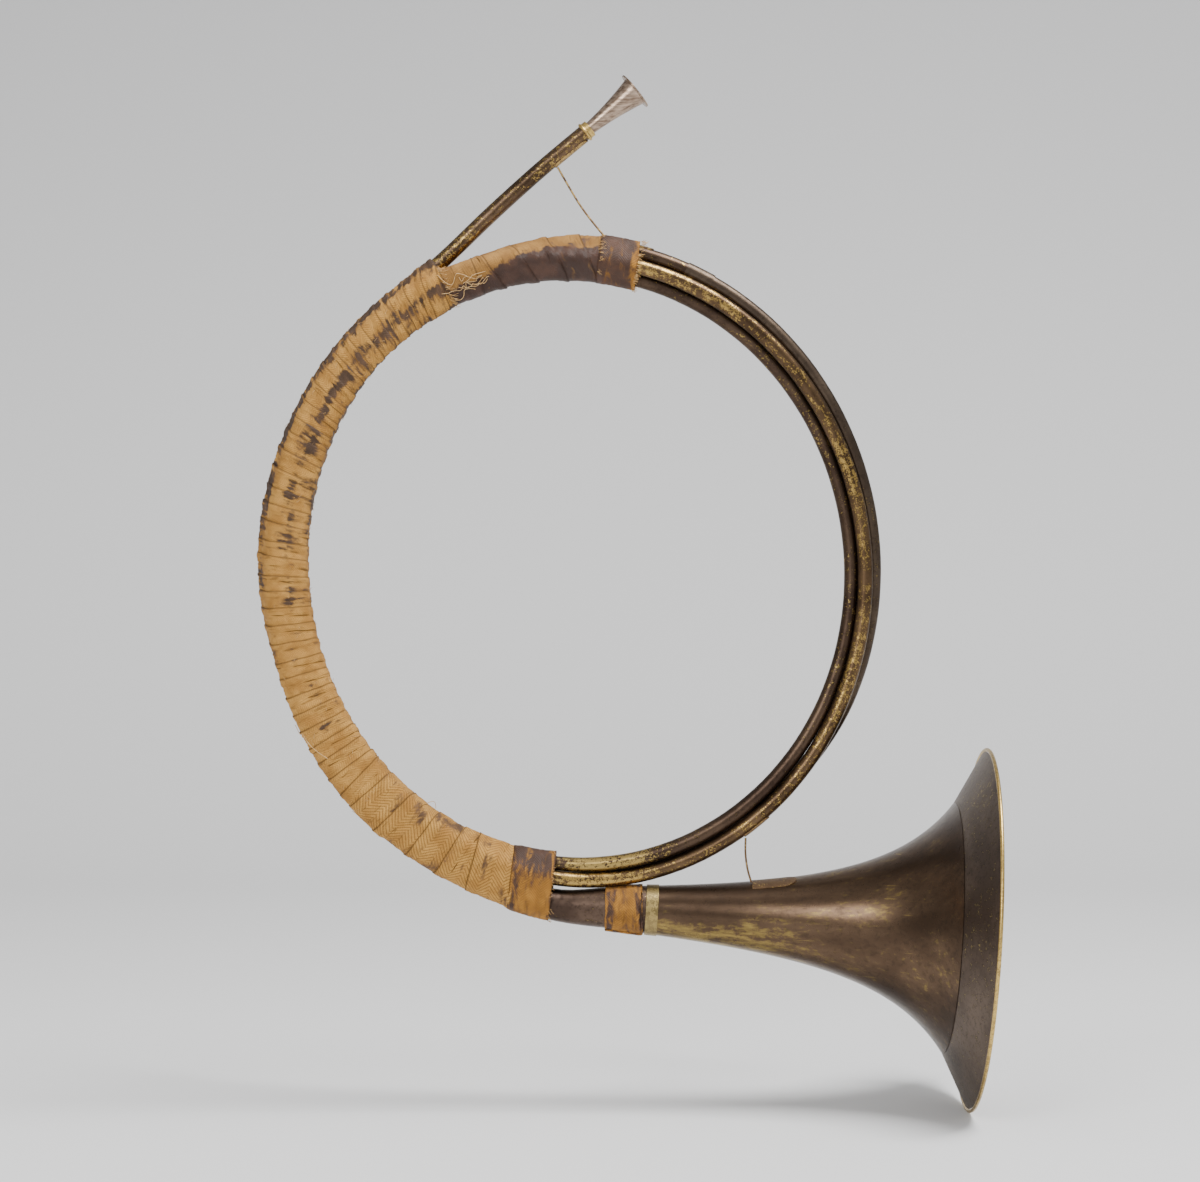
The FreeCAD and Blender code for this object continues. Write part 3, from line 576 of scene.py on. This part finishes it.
NODES_BY_MATERIAL = [
    (nickel_silver(), ["mouthpiece_cone", "mouthpiece_rim", "mouthpiece_shank"]),
    (bell_brass(), ["bell_cone"]),
    (bright, ["receiver_bead", "receiver_collar", "receiver_socket", "bell_rim_wire"]),
    (MATERIALS["coil_tube_1"], ["joint_ferrule_1", "joint_ferrule_2", "joint_ferrule_3", "joint_ferrule_4"]),
    (wire, ["mouthpipe_stay", "bell_stay", "mouthpipe_stay_upper_foot", "mouthpipe_stay_lower_foot",
            "bell_stay_upper_foot", "bell_stay_lower_foot"]),
    (flange, ["bell_flange"]),
    (strip, ["bell_ferrule"]),
]
for material, names in NODES_BY_MATERIAL:
    MATERIALS.update(dict.fromkeys(names, material))
for node, material in MATERIALS.items():
    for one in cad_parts[node].material_slots:
        one.material = material


# ---------------------------------------------------------------- the band on the bell's tail
def tail_tape():
    """A tape end wound once round the tail of the bell's branch."""
    tree = world_tree(["tail_wrap_band"])
    low, high = (Vector(c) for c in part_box("tail_wrap_band"))
    up, far = Vector((0, 0, 1)), Vector((0, 1, 0))
    width = high.x - low.x - 0.001
    places = np.linspace(low.x + 0.0015, high.x - 0.0015, 23)
    middle, reach = [], []
    for x in places:
        top = hit(tree, Vector((x, 0, high.z + 0.02)), -up)
        bottom = hit(tree, Vector((x, 0, low.z - 0.02)), up)
        centre = (top + bottom) / 2
        middle.append(centre)
        reach.append(outline(tree, centre, up, far, STEPS_PER_TURN, 0.05))
    middle, reach = np.array(middle), np.array(reach)
    across = np.linspace(-width / 2, width / 2, BAND_COLUMNS)
    corners, wears, run, length, previous = [], [], [], 0.0, None
    for row in range(int(STEPS_PER_TURN * TAIL_TURNS) + 1):
        share = row / STEPS_PER_TURN
        turn = 2 * math.pi * share + math.pi * 0.9
        for column, v in enumerate(across):
            lean = 0.0014 * math.cos(turn) * (0.5 - column / (BAND_COLUMNS - 1)) * 2
            edge = 0.0
            if column in (0, BAND_COLUMNS - 1):
                edge = 0.0004 * noise.noise(Vector((row * 0.35, column, 2.0)))
            x = min(max((low.x + high.x) / 2 + v + lean + edge, places[0]), places[-1])
            depth, height = (np.interp(x, places, middle[:, k]) for k in (1, 2))
            spot = (turn / (2 * math.pi) % 1.0) * STEPS_PER_TURN
            before, part = int(spot) % STEPS_PER_TURN, spot - int(spot)
            near = [np.interp(x, places, reach[:, k % STEPS_PER_TURN]) for k in (before, before + 1)]
            r = near[0] * (1 - part) + near[1] * part - 0.0003 + 0.0006 * smooth(share, 0.93, 1.0)
            r += 0.00022 * noise.noise(Vector((row * 0.3, v * 240, 7.0)))
            corners.append((x, depth + r * math.sin(turn), height + r * math.cos(turn)))
            wears.append(tail_wear(row * TAIL_ROW_LENGTH, v))
        point = Vector(corners[-BAND_COLUMNS // 2])
        length += 0.0 if previous is None else (point - previous).length
        previous = point
        run.append(length)
    tape_piece("tail_band_tape", ["tail_wrap_band"], corners, wears, run, across, True, band_cloth)


tail_tape()


# ---------------------------------------------------------------- loose threads
def threads(name, lines, radius, material):
    """Thin loose threads as one curve piece."""
    curve = bpy.data.curves.new(name, "CURVE")
    curve.dimensions = "3D"
    curve.bevel_depth = radius
    curve.bevel_resolution = 2
    curve.resolution_u = 6
    for line in lines:
        spline = curve.splines.new("NURBS")
        spline.points.add(len(line) - 1)
        for point, place in zip(spline.points, line):
            point.co = (*place, 1.0)
        spline.order_u = 3
        spline.use_endpoint_u = True
    curve.materials.append(material)
    piece = bpy.data.objects.new(name, curve)
    bpy.context.collection.objects.link(piece)
    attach(piece, "horn")


def fray(angle, turn, count, spread, reach, toward):
    """Short fibres, up to reach long, that stand off a tape edge at angle degrees, near turn radians."""
    lines = []
    for _ in range(count):
        a, t = angle + rng.uniform(-0.25, 0.25), turn + rng.uniform(-spread, spread)
        size = reach * rng.uniform(0.4, 1.0)
        step = math.degrees(size / LOOP_RADIUS) / 3 * toward
        sway = rng.uniform(-0.35, 0.35)
        line = []
        for k in range(4):
            lift = 0.0001 + 0.0005 * k * rng.uniform(0, 1)
            line.append(on_bundle(a + step * k, t + sway * k / 3 * size / 0.006, lift))
        lines.append(line)
    return lines


fibres = fray(85.4, FRONT, 26, 1.5, 0.004, -1) + fray(78.2, FRONT, 60, 1.6, 0.0035, -1)
fibres += fray(78.2, -FRONT, 50, 1.6, 0.0035, -1) + fray(114.6, FRONT, 40, 1.5, 0.006, -1)
fibres += fray(228.6, FRONT, 20, 1.4, 0.003, -1) + fray(265.9, FRONT, 24, 1.6, 0.002, 1)
for _ in range(150):
    spot, about = rng.uniform(116, 226), rng.uniform(0, 2 * math.pi)
    fibres += fray(spot, about, 1, 0.1, 0.0035, rng.choice((-1, 1)))
threads("tape_fibres", fibres, 0.00011, thread_material("fibre_ochre", (0.66, 0.42, 0.17), (0.4, 0.22, 0.08)))

tangle = []
for _ in range(9):
    a, t = rng.uniform(106, 111.5), FRONT - rng.uniform(-0.2, 0.75)
    swing = [(rng.uniform(-1.2, 1.2), rng.uniform(-0.28, 0.28)) for _ in range(7)]
    line = []
    for k, (da, dt) in enumerate(swing):
        line.append(on_bundle(a + 0.75 * k + da * 0.45, t + dt, 0.0004 + 0.0011 * rng.random()))
    tangle.append(line)
tangle.append([on_bundle(211.5 + 0.9 * k, 5.6 - 0.05 * k, 0.0008 + 0.0016 * math.sin(k / 7 * math.pi))
               for k in range(8)])
tangle.append([on_bundle(209.5 + 0.5 * k, 5.85 + 0.16 * math.sin(k), 0.0012) for k in range(5)])
tangle.append([on_bundle(238.0 + 0.35 * k, 3.32 - 0.08 * k, 0.0012 + 0.0026 * math.sin(k / 6 * math.pi))
               for k in range(7)])
threads("loose_threads", tangle, 0.0002, thread_material("thread_ochre", (0.74, 0.5, 0.24), (0.5, 0.3, 0.12)))


# ---------------------------------------------------------------- stage, lights and camera
FLOOR_Z = cad_box[0][2]
FLOOR_BACK = 1.6  # where the floor starts to curve up
CURVE_RADIUS = 0.9
CURVE_STEPS = 16
BACKDROP_TOP = 5.0
BACKDROP_SIDE = 6.0


def pale_backdrop():
    g = Graph("pale_backdrop")
    place = g.node("ShaderNodeTexCoord").outputs["Object"]
    height = g.node("ShaderNodeSeparateXYZ", {0: place}).outputs["Z"]
    # painted shade: the backdrop darkens from the floor toward its top
    tone = g.mix(g.ramp(height, -0.3, 1.2), (0.76, 0.76, 0.76), (0.5, 0.5, 0.505))
    tone = g.mix(g.remap(g.noise(place, 3.0), 0.0, 0.06), tone, (0.7, 0.7, 0.7))
    return g.finish(Base_Color=tone, Roughness=0.85, Specular_IOR_Level=0.2)


profile = [(-5.0, 0.0), (0.6, 0.0), (FLOOR_BACK, 0.0)]
for step in range(1, CURVE_STEPS + 1):
    bend = math.pi / 2 * step / CURVE_STEPS
    profile.append((FLOOR_BACK + CURVE_RADIUS * math.sin(bend), CURVE_RADIUS * (1 - math.cos(bend))))
profile.append((FLOOR_BACK + CURVE_RADIUS, BACKDROP_TOP))
sweep = bpy.data.meshes.new("backdrop")
sweep.from_pydata([(x, y, FLOOR_Z + z) for y, z in profile for x in (-BACKDROP_SIDE, BACKDROP_SIDE)], [],
                  [(2 * k, 2 * k + 1, 2 * k + 3, 2 * k + 2) for k in range(len(profile) - 1)])
sweep.polygons.foreach_set("use_smooth", [True] * len(sweep.polygons))
sweep.materials.append(pale_backdrop())
backdrop = bpy.data.objects.new("backdrop", sweep)
bpy.context.collection.objects.link(backdrop)

world = bpy.data.worlds.new("studio")
bpy.context.scene.world = world
world.use_nodes = True
background = world.node_tree.nodes["Background"]
background.inputs["Color"].default_value = (1.0, 1.0, 1.0, 1.0)
background.inputs["Strength"].default_value = 0.6


def softbox(name, place, target, size, power):
    light = bpy.data.lights.new(name, "AREA")
    light.shape = "RECTANGLE"
    light.size, light.size_y = size
    light.energy = power
    lamp = bpy.data.objects.new(name, light)
    lamp.location = place
    lamp.rotation_euler = (Vector(target) - Vector(place)).to_track_quat("-Z", "Y").to_euler()
    bpy.context.collection.objects.link(lamp)


softbox("overhead", (0.9, -0.5, 2.0), (0.0, 0.1, -0.3), (1.5, 1.0), 105)
softbox("front_fill", (-1.2, -2.4, 0.9), (0.0, 0.0, -0.2), (1.2, 1.2), 40)

camera_data = bpy.data.cameras.new("camera")
camera_data.sensor_width = 36.0
camera_data.lens = 94.5
camera = bpy.data.objects.new("camera", camera_data)
camera.location = (-0.0368, -2.1, -0.1991)
camera.rotation_euler = (math.pi / 2, 0.0, 0.0)
bpy.context.collection.objects.link(camera)
bpy.context.scene.camera = camera
